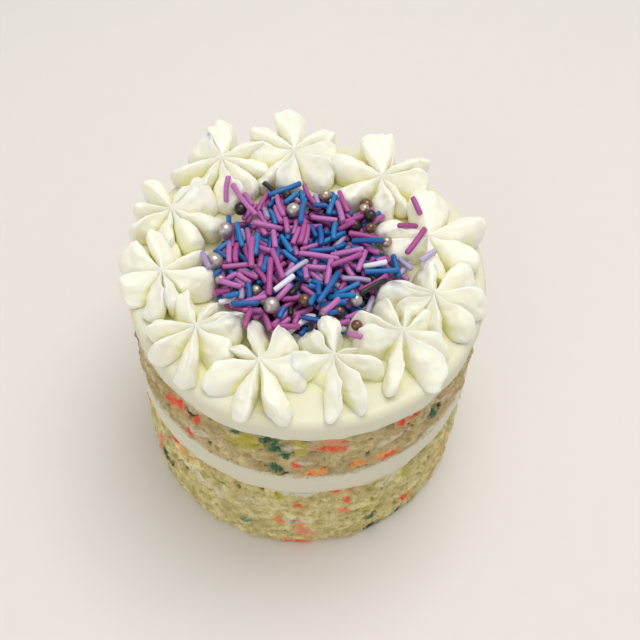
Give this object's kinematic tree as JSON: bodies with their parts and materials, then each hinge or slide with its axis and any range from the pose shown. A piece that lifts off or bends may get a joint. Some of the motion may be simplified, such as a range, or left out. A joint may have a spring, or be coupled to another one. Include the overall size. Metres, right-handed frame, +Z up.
{
  "type": "confetti birthday cake",
  "caption": "Small round two-layer confetti birthday cake with bare crumb sides, buttercream filling and top, a ring of piped buttercream flowers and a heap of rod sprinkles and sugar pearls.",
  "frame": {"origin": "middle of the flat base, on the cake's upright axis, at the level that the cake stands on", "axes": "+Z up through the layers to the piped flowers; -Y is the side that faces the camera in the picture and +X is the picture's right"},
  "size_m": [0.1512, 0.1533, 0.1312],
  "materials": {
    "bare_crumb": "matte open crumb with smears of red, orange, green and yellow",
    "buttercream": "smooth ivory buttercream with a soft satin sheen",
    "piped_buttercream": "piped ivory buttercream, satin, yellower in the grooves",
    "sugar_sprinkles": "satin pink, blue, lavender, white and black rods with metallic silver and bronze pearls"
  },
  "bodies": {
    "root": {"lower_cake_layer": "bare_crumb", "buttercream_filling": "buttercream", "upper_cake_layer": "bare_crumb", "top_buttercream": "buttercream", "buttercream_flower_01": "piped_buttercream", "buttercream_flower_02": "piped_buttercream", "buttercream_flower_03": "piped_buttercream", "buttercream_flower_04": "piped_buttercream", "buttercream_flower_05": "piped_buttercream", "buttercream_flower_06": "piped_buttercream", "buttercream_flower_07": "piped_buttercream", "buttercream_flower_08": "piped_buttercream", "buttercream_flower_09": "piped_buttercream", "buttercream_flower_10": "piped_buttercream", "buttercream_flower_11": "piped_buttercream", "sprinkle_heap": "sugar_sprinkles"}
  },
  "joints": []
}
